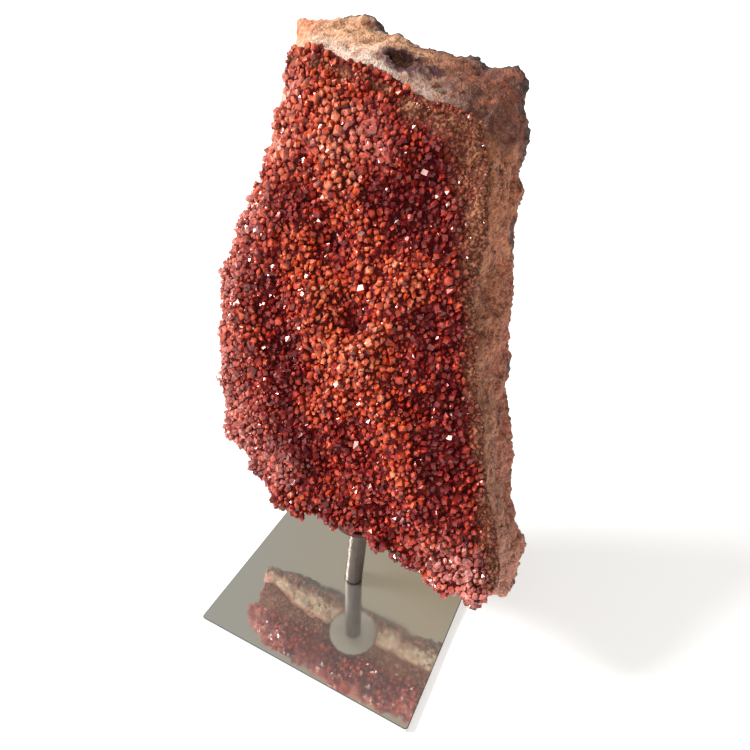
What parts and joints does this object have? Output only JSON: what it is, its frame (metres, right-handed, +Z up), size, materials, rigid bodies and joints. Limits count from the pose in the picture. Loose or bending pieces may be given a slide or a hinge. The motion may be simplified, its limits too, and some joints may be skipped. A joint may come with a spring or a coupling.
{
  "type": "vanadinite in matrix on a display stand",
  "caption": "Slab of host rock faced with a crust of small pointed red crystals, leaning back on a short steel rod over a thin square mirror-polished plate.",
  "frame": {"origin": "middle of the square plate's underside, on the surface that the stand rests on", "axes": "+Z up, -Y the way the crystal face looks, +X to the right as seen from the crystal side; the plate's edges lie along X and Y"},
  "size_m": [0.1491, 0.1437, 0.2248],
  "materials": {
    "polished_steel": "thin steel plate, mirror polished, with a soft grey-beige reflection",
    "steel_rod": "drawn steel rod, grey-brown, lightly drawn lengthwise",
    "steel_disc": "pale matt metal pad",
    "matrix_rock": "broken granular rock, peach and tan on top, brown-orange on the side, with a dark grey-black knobbly back",
    "crystals": "glossy flat crystal faces, red-orange to deep wine, paler along the tips"
  },
  "bodies": {
    "root": {"base_plate": "polished_steel", "post": "steel_rod", "support_disc": "steel_disc", "matrix": "matrix_rock", "crystal_crust": "crystals"}
  },
  "joints": []
}
